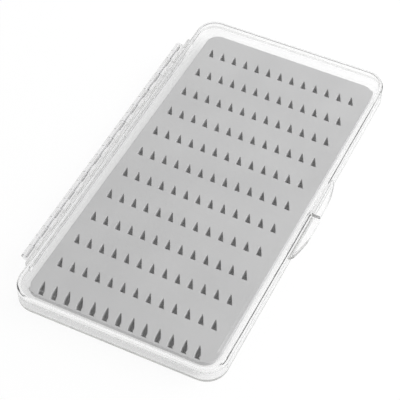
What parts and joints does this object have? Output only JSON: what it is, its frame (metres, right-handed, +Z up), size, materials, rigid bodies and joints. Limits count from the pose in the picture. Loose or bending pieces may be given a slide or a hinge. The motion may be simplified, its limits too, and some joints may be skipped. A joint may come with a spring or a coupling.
{
  "type": "fly box",
  "caption": "Slim clear moulded fly box with a slotted grey mat, a long knuckle hinge along one side and split thumb tabs with a snap catch on the other.",
  "frame": {"origin": "centre of the case's flat underside, between its four walls, without hinge and thumb tabs", "axes": "+X from the hinge to the opening side, +Y along the case, +Z up out of the closed lid"},
  "size_m": [0.1103, 0.195, 0.0136],
  "materials": {
    "tray_plastic": "clear, polished",
    "lid_plastic": "clear, polished",
    "mat_silicone": "matt",
    "adhesive_film": "matt",
    "wire_steel": "bright drawn wire"
  },
  "bodies": {
    "tray": {"base_tray": "tray_plastic", "slot_mat": "mat_silicone", "mat_film": "adhesive_film", "hinge_pin": "wire_steel"},
    "lid": {"lid": "lid_plastic"}
  },
  "joints": [
    {"name": "lid_hinge", "type": "hinge", "parent": "tray", "child": "lid", "pos_m": [-0.0542, 0, 0.0072], "axis": [0, -1, 0], "range_deg": [0, 180]}
  ]
}
